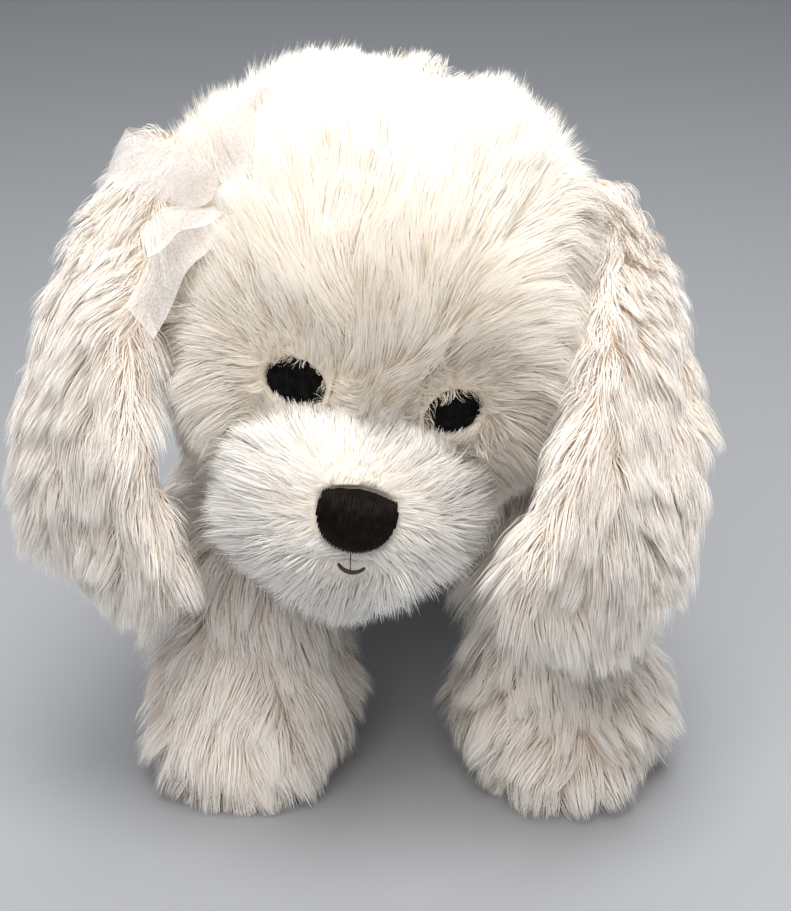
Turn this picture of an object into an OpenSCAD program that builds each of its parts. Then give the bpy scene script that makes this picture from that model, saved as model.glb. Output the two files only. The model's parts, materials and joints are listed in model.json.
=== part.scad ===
// Long-pile plush dog, standing, with a floppy stuffed head, four sewn-on legs,
// hanging ears, a pom tail and a sheer ribbon bow. Millimetres, +Z up, the dog faces -Y.
// Every cover is as thick as its pile lying flat; the loose fur tips stand further out.

/* [Fabric] */
// Thickness of a cover: backing cloth with its pile pressed flat
pile_t = 6; // [4:0.5:7]
// Thickness of a paw sole
sole_t = 2.5; // [2:0.5:3]

/* [Body] */
// Radius of the body at the chest, where the neck sits
chest_r = 44; // [43:0.5:45]
// Radius of the body at the rump
rump_r = 50; // [47:1:52]
// Distance from the chest centre to the rump centre
body_l = 126; // [120:1:140]
// Height of the body's long axis above the floor
body_z = 130; // [128:1:134]

/* [Head] */
// Radius of the round skull
skull_r = 70; // [68:0.5:70]
// How far the head leans over sideways, the dog's left ear down
head_roll = 12.5; // [0:0.5:14]
// How far the face turns to the dog's left
head_yaw = 3.5; // [0:0.5:5]
// Half the width of the strip that runs over the crown
gusset_half_w = 14; // [10:1:14]

/* [Face] */
// Radius of the round muzzle
muzzle_r = 37; // [34:1:38]
// Sideways distance between the two eyes
eye_gap = 50; // [46:1:52]
// Width of one embroidered eye
eye_w = 20; // [18:1:22]
// Height of one embroidered eye
eye_h = 17; // [14:1:17]
// Width of the nose
nose_w = 25; // [22:1:26]

/* [Ears] */
// Thickness of the furry side of an ear
ear_fur_t = 6.5; // [5:0.5:7]
// Thickness of the short-pile ear lining
ear_lining_t = 2.5; // [2:0.5:2.5]
// Width of an ear across its round lower end
ear_w = 62; // [56:1:64]

/* [Legs] */
// Sideways distance between the two fore paws
paw_gap = 117; // [112:1:118]
// Radius of a paw
paw_r = 30; // [28:0.5:31]

/* [Bow] */
// Width of the ribbon
ribbon_w = 16; // [14:1:16]
// Thickness given to one layer of ribbon
ribbon_t = 0.8; // [0.6:0.1:1]

/* [Hidden] */
$fn = 64;

fit = 0.2;            // gap between a cover and the stuffing in it
joint_gap = 0.5;      // gap between two bodies that move on each other
far = 400;            // longer than the whole toy
seam_turn = 25;       // keeps the start line of a turned shape off the planes that cut it
pinhole_r = 0.4;      // gap left where seams run together
hair = 0.02;

// The toy is laid out around its own middle, then moved so that the origin
// is at the bottom centre of its box.
origin_shift = [16.06, -5.12, 0];

neck_pivot = [0, -38, body_z];
rump_c = neck_pivot + [0, body_l, 0];
head_c = [-11, -74, 186];

neck_cover_in = chest_r + joint_gap;
neck_cover_out = neck_cover_in + 2.5;
thread_in = neck_cover_out + joint_gap;
thread_out = thread_in + 1.8;
head_recess_r = thread_out + joint_gap;
neck_half_angle = 33;      // how far the neck cover reaches round the chest
thread_half_angle = 32;    // how far the gathered rim reaches
neck_flare = 0.48;         // how fast the room for the shoulders widens behind the neck

muzzle_c = [0, -45, -46];
chin_z = -61;              // the chin panel is below this height, from the head centre
nose_c = [0, -79, -45];
nose_crown_r = 17;
eye_dir = [eye_gap / 2, -61, -12];
eye_depth = 5.5;
stitch_r = 0.9;
mouth_line_from = 16;      // degrees below level, seen from the muzzle centre
mouth_line_to = 27;
smile_r = 6;

tail_root_r = 12;
tail_root_lift = 35;       // angle of the tail's root above the body's long axis
tail_pivot = rump_c + (rump_r + tail_root_r + joint_gap) * [0, cos(tail_root_lift), sin(tail_root_lift)];

bow_c = head_c + [-44, -39.5, 46];
bow_knot_r = 5;
loop_len = 36;
gathered_w = 5;            // width of a ribbon end where it leaves the knot
loop_r = 9;

plush = [0.96, 0.92, 0.86];
plush_warm = [0.95, 0.89, 0.82];
lining_tone = [0.85, 0.72, 0.60];
filling = [0.97, 0.97, 0.97];
satin_black = [0.04, 0.035, 0.035];
satin_brown = [0.13, 0.08, 0.06];
organza = [0.97, 0.93, 0.92];

// ---- shared shapes ----

module ball(c, r) { translate(c) sphere(r = r); }

// turns the shape's own Z axis to the way from one point to another
module aim(a, b) {
    v = b - a;
    translate(a) rotate([0, acos(v[2] / norm(v)), atan2(v[1], v[0])]) rotate([0, 0, seam_turn]) children();
}

// everything on one side of a plane through the toy; side is +1 or -1
module half_x(side) { translate([side > 0 ? 0 : -far, -far / 2, -far / 2]) cube([far, far, far]); }
module above(z) { translate([-far / 2, -far / 2, z]) cube([far, far, far]); }
module below(z) { translate([-far / 2, -far / 2, z - far]) cube([far, far, far]); }

// two circles on the Y axis joined by their common tangent, to be turned round that axis;
// the straight side lies a hair inside the tangent, so that it meets both circles cleanly
module tangent_pair(y1, r1, y2, r2) {
    lean = asin((r2 - r1) / (y2 - y1));
    side1 = r1 - hair;
    side2 = r2 - hair;
    translate([0, y1]) circle(r = r1);
    translate([0, y2]) circle(r = r2);
    polygon([
        [0, y1 - r1 / 2], [side1 * cos(lean), y1 - side1 * sin(lean)],
        [side2 * cos(lean), y2 - side2 * sin(lean)], [0, y2 + r2 / 2]
    ]);
}

// keeps the half of an outline that can be turned round the Y axis
module right_half() {
    intersection() {
        children();
        translate([0, -far / 2]) square([far, far]);
    }
}

module body_outline(grow) {
    right_half() tangent_pair(0, chest_r + grow, body_l, rump_r + grow);
}

// a turned piece of the body, from one angle round its long axis to another;
// 0 is the dog's left, 90 the belly, 180 the dog's right
module body_turned(from, sweep) {
    translate(neck_pivot) rotate([-90, 0, 0]) rotate([0, 0, from])
        rotate_extrude(angle = sweep) children();
}

// the seams meet round a pinhole at either end of the body
module body_shell_outline() {
    difference() {
        body_outline(0);
        body_outline(-pile_t);
        translate([-far, -far / 2]) square([far + pinhole_r, far]);
    }
}

// ---- legs ----

leg_root_r = 22.5;
ankle_r = 23;
ankle_at = 0.6;            // where the ankle is, from the root to the paw
toe_r = paw_r * 0.8;
fore_root = root_on(neck_pivot, chest_r, leg_root_r, -14, -40);
hind_root = root_on(rump_c, rump_r, leg_root_r, 4, -40);
paw_c = [paw_gap / 2, -64, 25];
toe_c = paw_c + [0, -14, -7];

// where a ball of radius r just clears the body's ball, so far along Y and Z from its centre
function root_on(c, body_r, r, dy, dz) =
    c + [sqrt(pow(body_r + r + joint_gap, 2) - dy * dy - dz * dz), dy, dz];

// the left fore leg; the others are the same, moved or mirrored
module leg_form(grow) {
    reach = norm(paw_c - fore_root);
    difference() {
        union() {
            aim(fore_root, paw_c) rotate_extrude() right_half() {
                tangent_pair(0, leg_root_r + grow, ankle_at * reach, ankle_r + grow);
                tangent_pair(ankle_at * reach, ankle_r + grow, reach, paw_r + grow);
            }
            ball(toe_c, toe_r + grow);
        }
        below(0);
    }
}

module leg_cover() {
    color(plush) difference() {
        leg_form(0);
        leg_form(-pile_t);
        below(sole_t);
    }
}

module leg_stuffing() {
    color(filling) difference() {
        leg_form(-pile_t - fit);
        below(sole_t + fit);
    }
}

module paw_sole() {
    color(plush_warm) difference() {
        leg_form(0);
        above(sole_t);
    }
}

module on_right() { mirror([1, 0, 0]) children(); }
module on_hind() { translate(hind_root - fore_root) children(); }

// ---- body ----

module body_side_panel() { body_turned(-90, 130) body_shell_outline(); }
module body_panel_left() { color(plush) body_side_panel(); }
module body_panel_right() { color(plush) on_right() body_side_panel(); }
module belly_panel() { color(plush_warm) body_turned(40, 100) body_shell_outline(); }
module body_stuffing() { color(filling) body_turned(0, 360) body_outline(-pile_t - fit); }

// ---- neck ----

// part of a hollow ball round the neck pivot, measured from the line to the head
module neck_zone(r_in, r_out, from, to) {
    aim(neck_pivot, head_c) rotate_extrude() intersection() {
                difference() {
                    circle(r = r_out);
                    circle(r = r_in);
                }
                polygon([
                    [0, 0], far * [sin(from), cos(from)],
                    far * [sin((from + to) / 2), cos((from + to) / 2)], far * [sin(to), cos(to)]
                ]);
            }
}

module neck_cover() { color(plush) neck_zone(neck_cover_in, neck_cover_out, 0, neck_half_angle); }
module neck_gather_thread() {
    color(plush_warm) neck_zone(thread_in, thread_out, thread_half_angle - 12, thread_half_angle);
}

// ---- head ----

module in_head() { translate(head_c) rotate([0, head_roll, head_yaw]) children(); }

// the skull's circle and the muzzle's, on the line that joins their centres
module skull_circle(grow) { circle(r = skull_r + grow); }
module muzzle_circle(grow) { translate([0, norm(muzzle_c)]) circle(r = muzzle_r + grow); }
module head_turned() { aim([0, 0, 0], muzzle_c) rotate_extrude() right_half() children(); }

// room for the neck, and for the shoulders behind it when the head moves
module neck_room(extra) {
    r = head_recess_r + extra;
    translate(neck_pivot) rotate([-90, 0, 0]) rotate_extrude() right_half() {
        circle(r = r);
        polygon([[0, 0], [r + 0.7, 0], [r + 0.7 + neck_flare * skull_r, skull_r], [0, skull_r]]);
    }
}

// an upright oval with round ends, pointing away from the head centre at one eye
module eye_prism(grow) {
    rotate([0, acos(eye_dir[2] / norm(eye_dir)), atan2(eye_dir[1], eye_dir[0])])
        linear_extrude(height = skull_r + 10) {
            for (s = [-1, 1]) translate([0, s * (eye_w - eye_h) / 2]) circle(r = eye_h / 2 + grow);
            square([eye_h + 2 * grow, eye_w - eye_h], center = true);
        }
}

// rounded shield, wide at the top, bounded by four arcs
module nose_outline(grow) {
    intersection() {
        translate([0, -20.5]) circle(r = 30 + grow);
        translate([0, 3.5]) circle(r = 14 + grow);
        nose_side_arcs(grow);
    }
}

module nose_side_arcs(grow) {
    intersection() {
        translate([nose_w / 2 - 14, 2]) circle(r = 14 + grow);
        translate([14 - nose_w / 2, 2]) circle(r = 14 + grow);
    }
}

module nose_prism(grow) {
    translate([0, nose_c[1] + 1 + grow, nose_c[2]]) rotate([90, 0, 0])
        linear_extrude(height = 20) nose_outline(grow);
}

module skull_shell() {
    difference() {
        head_turned() difference() {
            skull_circle(0);
            skull_circle(-pile_t);
            muzzle_circle(-pile_t);
        }
        for (side = [0, 1]) mirror([side, 0, 0]) eye_prism(fit);
    }
}

module crown_slab() {
    translate([-gusset_half_w, -far / 2, -30]) cube([2 * gusset_half_w, far, far]);
}

module head_panel(side) {
    color(plush) difference() {
        in_head() difference() {
            intersection() {
                skull_shell();
                half_x(side);
            }
            crown_slab();
        }
        neck_room(0);
    }
}

module head_panel_left() { head_panel(1); }
module head_panel_right() { head_panel(-1); }

module crown_gusset() {
    color(plush_warm) difference() {
        in_head() intersection() {
            skull_shell();
            crown_slab();
        }
        neck_room(0);
    }
}

module muzzle_shell() {
    difference() {
        head_turned() difference() {
            muzzle_circle(0);
            muzzle_circle(-pile_t);
            skull_circle(0);
        }
        nose_prism(fit);
    }
}

module muzzle_panel() {
    color(plush) difference() {
        in_head() intersection() {
            muzzle_shell();
            above(chin_z);
        }
        neck_room(0);
    }
}

module chin_panel() {
    color(plush) difference() {
        in_head() intersection() {
            muzzle_shell();
            below(chin_z);
        }
        neck_room(0);
    }
}

module head_stuffing() {
    color(filling) difference() {
        in_head() head_turned() {
            skull_circle(-pile_t - fit);
            muzzle_circle(-pile_t - fit);
        }
        neck_room(fit);
    }
}

// ---- face ----

module eye(side) {
    color(satin_black) in_head() mirror([side, 0, 0]) intersection() {
        eye_prism(0);
        difference() {
            ball([0, 0, 0], skull_r - 0.3);
            ball([0, 0, 0], skull_r - 0.3 - eye_depth);
        }
    }
}

module eye_left() { eye(0); }
module eye_right() { eye(1); }

module nose() {
    color(satin_brown) in_head() intersection() {
        nose_prism(0);
        ball(nose_c + [0, 7.5, 0], nose_crown_r);
    }
}

module mouth_stitch() {
    lift = muzzle_r + stitch_r + 0.2;
    mid = mouth_line_to;
    color(satin_black) in_head() translate(muzzle_c) {
        rotate([0, 90, 0]) rotate([0, 0, mouth_line_from - 90])
            rotate_extrude(angle = mouth_line_to - mouth_line_from)
                translate([lift, 0]) circle(r = stitch_r);
        rotate([mid, 0, 0]) translate([0, -lift - 0.4, smile_r]) rotate([90, 0, 0])
            rotate([0, 0, 225]) rotate_extrude(angle = 90)
                translate([smile_r, 0]) circle(r = stitch_r);
    }
}

// ---- ears ----

// Each ear is a plate bent to an arc, drawn beside the head centre as (out, up).
// [turn round the head from the side towards the face, lean out from straight up,
//  swing of the tip towards the face, spin of the furry side towards the front]
ear_left = [-8, 12, 24, 50];
ear_right = [0, -2, 2, 50];
ear_hinge = [69.5, 45];
ear_tip = [93, -98];
ear_bend_r = 110;          // radius of the arc from the hinge to the tip
ear_root_half_w = 7;
ear_sway = 4;              // how far the round end lies forward of the root
ear_mid_t = (ear_fur_t + ear_lining_t) / 2;
ear_root_r = 7;
ear_root_skip = asin((ear_root_r + 1) / ear_bend_r);   // the lining starts this angle below the root
ear_chord = ear_tip - ear_hinge;
ear_bend_c = (ear_hinge + ear_tip) / 2
    + sqrt(pow(ear_bend_r, 2) - pow(norm(ear_chord) / 2, 2)) * [ear_chord[1], -ear_chord[0]] / norm(ear_chord);
ear_from = angle_at(ear_hinge - ear_bend_c);
ear_to = angle_at(ear_tip - ear_bend_c);

function angle_at(v) = atan2(v[1], v[0]);

// the bent plate seen edge on, starting so many degrees below the hinge
module ear_section(skip, r_in, r_out) {
    reach = ear_bend_r * 1.5;
    translate(ear_bend_c) intersection() {
        difference() {
            circle(r = r_out);
            circle(r = r_in);
        }
        polygon([
            [0, 0], reach * [cos(ear_from - skip), sin(ear_from - skip)],
            reach * [cos((ear_from + ear_to) / 2), sin((ear_from + ear_to) / 2)],
            reach * [cos(ear_to - 3), sin(ear_to - 3)]
        ]);
    }
}

// the ear seen flat: a narrow root that widens to a round end
module ear_outline() {
    end = ear_tip[1] + ear_w / 2;
    root = ear_hinge[1] + 20;
    polygon(concat(
        [[ear_root_half_w, root], [-ear_root_half_w, root]],
        [for (a = [180:6:360]) [ear_w / 2 * cos(a) - ear_sway, end + ear_w / 2 * sin(a)]]
    ));
}

module in_ear(side, ear) {
    hinge = [ear_hinge[0], 0, ear_hinge[1]];
    translate(head_c) mirror([side, 0, 0]) rotate([0, 0, -ear[0]]) rotate([0, ear[1], 0])
        rotate(-ear[2], hinge) translate(hinge) rotate([0, 0, -ear[3]]) translate(-hinge) children();
}

module ear_layer(side, ear, skip, r_in, r_out) {
    in_ear(side, ear) intersection() {
        rotate([90, 0, 0]) linear_extrude(height = 2 * ear_w, center = true)
            ear_section(skip, r_in, r_out);
        rotate([90, 0, 90]) linear_extrude(height = far) ear_outline();
    }
}

module ear_panel(side, ear) {
    r_in = ear_bend_r - ear_mid_t + ear_lining_t;
    color(plush_warm) {
        ear_layer(side, ear, 0, r_in, r_in + ear_fur_t);
        in_ear(side, ear) translate([ear_hinge[0], 0, ear_hinge[1]]) rotate([90, 0, 0])
            cylinder(h = 2 * ear_root_half_w, r = ear_root_r, center = true);
    }
}

module ear_lining(side, ear) {
    r_in = ear_bend_r - ear_mid_t;
    color(lining_tone) ear_layer(side, ear, ear_root_skip, r_in, r_in + ear_lining_t);
}

module ear_panel_left() { ear_panel(0, ear_left); }
module ear_lining_left() { ear_lining(0, ear_left); }
module ear_panel_right() { ear_panel(1, ear_right); }
module ear_lining_right() { ear_lining(1, ear_right); }

// ---- tail ----

tail_mid = tail_pivot + [0, 17, 25];
tail_mid_r = 17;

module tail_form(grow) {
    aim(tail_pivot, tail_mid) rotate_extrude() right_half()
        tangent_pair(0, tail_root_r + grow, norm(tail_mid - tail_pivot), tail_mid_r + grow);
}

module tail_cover() {
    color(plush) difference() {
        tail_form(0);
        tail_form(-pile_t);
    }
}

module tail_stuffing() { color(filling) tail_form(-pile_t - fit); }

// ---- bow ----

// one flattened loop of ribbon, seen along the ribbon's width
module loop_outline(grow) {
    translate([loop_len - loop_r, 0]) circle(r = loop_r + grow);
    polygon([[0, -1.5 - grow], [loop_len - loop_r, -loop_r - grow],
             [loop_len - loop_r, loop_r + grow], [0, 1.5 + grow]]);
}

module bow_loop() {
    translate([bow_knot_r + 0.5, 0, -ribbon_w / 2]) linear_extrude(height = ribbon_w) difference() {
        loop_outline(0);
        loop_outline(-ribbon_t);
    }
}

// a ribbon end, gathered narrow at the knot
module bow_tail(len) {
    half = ribbon_w / 2;
    top = -bow_knot_r - 0.5;
    rotate([90, 0, 0]) linear_extrude(height = ribbon_t, center = true) polygon([
        [-gathered_w / 2, top], [gathered_w / 2, top], [half, top - 9],
        [half, top - len], [-half, top - len], [-half, top - 9]
    ]);
}

module bow_loop_front() { color(organza) translate(bow_c) rotate([0, -25, 188]) bow_loop(); }
module bow_loop_back() { color(organza) translate(bow_c) rotate([63, -44, 78]) bow_loop(); }
module bow_tail_front() { color(organza) translate(bow_c) rotate([-30, 10, -40]) bow_tail(44); }
module bow_tail_back() { color(organza) translate(bow_c) rotate([-50, 10, -60]) bow_tail(22); }
module bow_knot() { color(organza) ball(bow_c, bow_knot_r); }

// ---- the toy ----

module toy() { translate(origin_shift) children(); }

toy() body_panel_left();
toy() body_panel_right();
toy() belly_panel();
toy() body_stuffing();
toy() neck_cover();
toy() neck_gather_thread();
toy() head_panel_left();
toy() head_panel_right();
toy() crown_gusset();
toy() muzzle_panel();
toy() chin_panel();
toy() head_stuffing();
toy() eye_left();
toy() eye_right();
toy() nose();
toy() mouth_stitch();
toy() ear_panel_left();
toy() ear_lining_left();
toy() ear_panel_right();
toy() ear_lining_right();
toy() bow_loop_front();
toy() bow_loop_back();
toy() bow_tail_front();
toy() bow_tail_back();
toy() bow_knot();
toy() leg_cover();  // fore_leg_cover_left
toy() leg_stuffing();  // fore_leg_stuffing_left
toy() paw_sole();  // fore_paw_sole_left
toy() on_right() leg_cover();  // fore_leg_cover_right
toy() on_right() leg_stuffing();  // fore_leg_stuffing_right
toy() on_right() paw_sole();  // fore_paw_sole_right
toy() on_hind() leg_cover();  // hind_leg_cover_left
toy() on_hind() leg_stuffing();  // hind_leg_stuffing_left
toy() on_hind() paw_sole();  // hind_paw_sole_left
toy() on_right() on_hind() leg_cover();  // hind_leg_cover_right
toy() on_right() on_hind() leg_stuffing();  // hind_leg_stuffing_right
toy() on_right() on_hind() paw_sole();  // hind_paw_sole_right
toy() tail_cover();
toy() tail_stuffing();
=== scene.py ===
import json
import math

import bpy
import numpy as np
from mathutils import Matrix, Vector
from mathutils.kdtree import KDTree


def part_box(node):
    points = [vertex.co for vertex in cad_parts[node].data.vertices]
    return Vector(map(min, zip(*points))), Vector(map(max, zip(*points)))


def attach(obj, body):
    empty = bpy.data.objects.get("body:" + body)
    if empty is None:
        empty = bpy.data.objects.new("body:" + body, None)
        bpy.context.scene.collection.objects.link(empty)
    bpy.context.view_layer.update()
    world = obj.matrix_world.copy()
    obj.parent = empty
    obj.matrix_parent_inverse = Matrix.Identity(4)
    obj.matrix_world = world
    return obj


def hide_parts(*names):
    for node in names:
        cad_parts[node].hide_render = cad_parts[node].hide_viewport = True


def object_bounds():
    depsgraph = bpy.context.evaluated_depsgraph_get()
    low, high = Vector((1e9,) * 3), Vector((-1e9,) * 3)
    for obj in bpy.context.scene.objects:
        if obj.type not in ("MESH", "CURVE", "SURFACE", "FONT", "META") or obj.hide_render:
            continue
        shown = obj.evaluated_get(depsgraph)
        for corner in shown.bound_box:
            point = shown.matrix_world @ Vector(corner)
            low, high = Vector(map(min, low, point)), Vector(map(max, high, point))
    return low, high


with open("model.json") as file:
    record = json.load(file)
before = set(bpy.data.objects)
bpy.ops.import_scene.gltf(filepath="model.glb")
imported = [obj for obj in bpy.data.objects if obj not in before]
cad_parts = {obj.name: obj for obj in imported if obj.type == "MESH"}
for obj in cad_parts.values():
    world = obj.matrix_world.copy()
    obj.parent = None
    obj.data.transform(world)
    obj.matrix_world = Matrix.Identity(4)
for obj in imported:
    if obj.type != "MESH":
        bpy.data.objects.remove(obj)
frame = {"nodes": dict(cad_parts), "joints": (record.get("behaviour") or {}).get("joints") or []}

CAD_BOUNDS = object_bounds()

# ---------------------------------------------------------------- named values
# Lengths are in millimetres, apart from those of the stage, and are turned into metres only when a mesh
# is made. Places of muzzle, nose, eyes and smile are in the head's own frame, from its middle.
MM = 0.001
HEAD_ROLL, HEAD_YAW = 12.5, 3.5                  # degrees
SKULL_R = 70.0
MUZZLE_C = np.array([0.0, -45.0, -46.0])
MUZZLE_R = 37.0
NOSE_C = np.array([0.0, -82.0, -45.0])
NOSE_FRONT = 88.5                                # how far the nose reaches forwards
NOSE_CROWN_R = 17.0
NOSE_ARCS = ((0, -20.5, 30), (0, 3.5, 14), (-1.5, 2, 14), (1.5, 2, 14))    # the outline: x, z and radius
EYE_DIR = np.array([25.0, -61.0, -12.0])
EYE_W, EYE_H = 20.0, 17.0
EYE_BACK, EYE_CROWN = 66.4, 3.2                  # the eye's rim from the head's middle, and its crown
EYE_CLEAR = 8.8                                  # bare radius round an eye's middle
SMILE_C = np.array([2.5, -79.6, -63.8])
CHEST_R, RUMP_R, BODY_L = 44.0, 50.0, 126.0
LEG_ROOT_R, ANKLE_R, PAW_R, TOE_R = 22.5, 23.0, 30.0, 24.0
PAW_FROM_SOLE = np.array([0.0, 5.0, 25.0])
TOE_FROM_PAW = np.array([0.0, -14.0, -7.0])
ANKLE_SHARE = 0.6                                # how far down from the leg's root to the paw
BOW_FROM_HEAD = np.array([-44.0, -39.5, 46.0])
RIBBON_W = 16.0
RIBBON_RISE = 12.0                               # how far the ribbon lies above the cloth, on the pile
TAIL_LEN = {"front": 44.0, "back": 22.0}         # the bow's two ends
LOOP_REACH, LOOP_BULGE = 33.0, 8.2
KNOT_R = 5.0                                     # where the ribbon comes out of the knot
INNER_FACE = 2.6                                 # a cover's points deeper than this are on its inner face
FLOOR_GAP = 0.6                                  # lowest height of a fur tip
PROUD = np.array([15.5, 18.5, 17.0])             # how far fur may stand outside the CAD box
CROWN_ANGLE = [-60, -42, -17, 6, 28, 48]         # degrees over the crown, 0 at its top, towards the left
CROWN_PILE = [24, 28, 18, 8, 32, 37]             # length of the pile there: two lobes with a dip between
MAX_STRANDS = 26000                              # strands in one fur piece
SOFTNESS = 0.4                                   # how far a strand is shaded like the cloth under it
GUARD_HAIRS, GUARD_LEN = 0.03, 1.2               # share of longer hairs, and how much longer
STRAND_T = np.array([0.0, 0.22, 0.48, 0.76, 1.0])     # where a strand's points lie along it

# The stage. Lengths are in metres, apart from the lens's.
CAMERA_AT, CAMERA_TILT, LENS_MM = (0.0127, -0.7093, 0.3956), 67, 77.06
FLOOR_REACH = 6.0                                # from its middle to each side
LIGHTS_AIM = (0.0, -0.05, 0.12)
LIGHTS = (                                       # name, place, diameter, watts and colour
    ("key", (0.08, -0.5, 1.35), 0.7, 15.5, (1.0, 0.98, 0.95)),
    ("fill", (-0.2, -1.25, 1.25), 1.0, 14.5, (1.0, 0.975, 0.94)),
    ("top", (0.1, 0.3, 1.5), 1.0, 6, (0.97, 0.98, 1.0)),
)

JOINT = {j["name"]: j for j in frame["joints"]}


def joint_at(name):
    """A joint's place, in millimetres."""
    return np.array(JOINT[name]["pos_m"]) / MM


NECK = joint_at("head_turn")
RUMP_C = NECK + np.array([0.0, BODY_L, 0.0])
BOW_C = np.mean(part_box("bow_knot"), axis=0) / MM
HEAD_C = BOW_C - BOW_FROM_HEAD


def turned(axis, degrees):
    """A 3x3 rotation about one of the frame's axes."""
    c, s = math.cos(math.radians(degrees)), math.sin(math.radians(degrees))
    return np.array({
        "x": [[1, 0, 0], [0, c, -s], [0, s, c]],
        "y": [[c, 0, s], [0, 1, 0], [-s, 0, c]],
        "z": [[c, -s, 0], [s, c, 0], [0, 0, 1]],
    }[axis])


HEAD_R = turned("z", HEAD_YAW) @ turned("y", HEAD_ROLL)
LOOP_TURN = {"front": turned("z", 188) @ turned("y", -25),
             "back": turned("z", 78) @ turned("y", -44) @ turned("x", 63)}
TAIL_TURN = {"front": turned("z", -40) @ turned("y", 10) @ turned("x", -30),
             "back": turned("z", -60) @ turned("y", 10) @ turned("x", -50)}


def to_head(p):
    """Places in the shared frame, as seen from the head's own frame."""
    return (p - HEAD_C) @ HEAD_R


def from_head(q):
    return np.asarray(q) @ HEAD_R.T + HEAD_C


# ---------------------------------------------------------------- small maths
def unit(v):
    return v / np.maximum(np.linalg.norm(v, axis=-1, keepdims=True), 1e-9)


def smooth(a, b, x):
    """A soft step: 0 where x is at a, 1 where it is at b. a may be the higher one."""
    t = np.clip((x - a) / (b - a), 0.0, 1.0)
    return t * t * (3 - 2 * t)


def tangential(v, n):
    """The part of v that lies in the surface whose normal is n, at unit length."""
    return unit(v - (v * n).sum(1, keepdims=True) * n)


class Waves:
    """A smooth random vector field made of sine waves, of about the given wavelength in mm."""

    def __init__(self, wavelength, seed):
        count = 10
        r = np.random.default_rng(seed)
        self.k = unit(r.normal(size=(count, 3))) * (2 * math.pi / wavelength)
        self.k = self.k * r.uniform(0.6, 1.5, (count, 1))
        self.phase = r.uniform(0, 2 * math.pi, count)
        self.way = unit(r.normal(size=(count, 3)))
        self.gain = math.sqrt(2.0 / count)

    def __call__(self, p):
        return (np.sin(p @ self.k.T + self.phase) @ self.way) * self.gain


SWIRL = Waves(46, 1)
RUFFLE = Waves(13, 2)


def capsule_depth(p, a, b, ra, rb):
    """Signed distance from a tapered capsule, negative inside."""
    ab = b - a
    t = np.clip(((p - a) @ ab) / (ab @ ab), 0, 1)
    return np.linalg.norm(p - a - t[:, None] * ab, axis=1) - (ra + (rb - ra) * t)


def leg_bones(pair, side):
    """The tapered capsules that a leg is made of: root to ankle, ankle to paw, and paw to toes."""
    root = joint_at(f"{pair}_leg_{side}_swing")
    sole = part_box(f"{pair}_paw_sole_{side}")
    low, high = np.array(sole[0]) / MM, np.array(sole[1]) / MM
    centre = (low + high) / 2
    paw = np.array([centre[0], centre[1], 0.0]) + PAW_FROM_SOLE
    toe = paw + TOE_FROM_PAW
    ankle = root + (paw - root) * ANKLE_SHARE
    return [(root, ankle, LEG_ROOT_R, ANKLE_R), (ankle, paw, ANKLE_R, PAW_R), (paw, toe, PAW_R - 2, TOE_R)]


LEGS = [(pair, side) for pair in ("fore", "hind") for side in ("left", "right")]
BONES = {
    "torso": [(NECK, RUMP_C, CHEST_R, RUMP_R)],
    "head": [(HEAD_C, from_head([0, -1, -1]), SKULL_R, SKULL_R),
             (from_head(MUZZLE_C), from_head(MUZZLE_C + [0, -1, 0]), MUZZLE_R, MUZZLE_R)],
}
for pair, side in LEGS:
    BONES[f"{pair}_leg_{side}"] = leg_bones(pair, side)
EYES = [unit(EYE_DIR * [s, 1, 1]) * SKULL_R for s in (-1, 1)]        # in the head's own frame


def depth(p, body):
    """Signed distance from a body's own shape, negative inside."""
    return np.min([capsule_depth(p, *bone) for bone in BONES[body]], axis=0)


# ---------------------------------------------------------------- materials
def new_material(name):
    m = bpy.data.materials.new(name)
    m.use_nodes = True
    return m, m.node_tree.nodes, m.node_tree.links, m.node_tree.nodes["Principled BSDF"]


def rgb(c):
    return (c[0], c[1], c[2], 1.0)


def fur_material(name, root, middle, tip, streak, roughness=0.62):
    """Colour runs from root to tip along each strand, and some strands are tinted."""
    m, nodes, links, shader = new_material(name)
    uv = nodes.new("ShaderNodeUVMap")
    uv.uv_map = "OFBake"
    split = nodes.new("ShaderNodeSeparateXYZ")
    links.new(uv.outputs["UV"], split.inputs[0])
    along = nodes.new("ShaderNodeValToRGB")
    along.color_ramp.elements[0].color = rgb(root)
    along.color_ramp.elements[1].position = 0.85
    along.color_ramp.elements[1].color = rgb(tip)
    mid = along.color_ramp.elements.new(0.35)
    mid.color = rgb(middle)
    links.new(split.outputs["Y"], along.inputs["Fac"])
    each = nodes.new("ShaderNodeValToRGB")
    each.color_ramp.elements[0].color = rgb(streak)
    each.color_ramp.elements[0].position = 0.08
    each.color_ramp.elements[1].color = (1, 1, 1, 1)
    each.color_ramp.elements[1].position = 0.55
    links.new(split.outputs["X"], each.inputs["Fac"])
    tint = nodes.new("ShaderNodeMix")
    tint.data_type = "RGBA"
    tint.blend_type = "MULTIPLY"
    tint.inputs["Factor"].default_value = 1.0
    links.new(along.outputs["Color"], tint.inputs[6])
    links.new(each.outputs["Color"], tint.inputs[7])
    links.new(tint.outputs[2], shader.inputs["Base Color"])
    shader.inputs["Roughness"].default_value = roughness
    shader.inputs["Specular IOR Level"].default_value = 0.35
    return m


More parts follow.
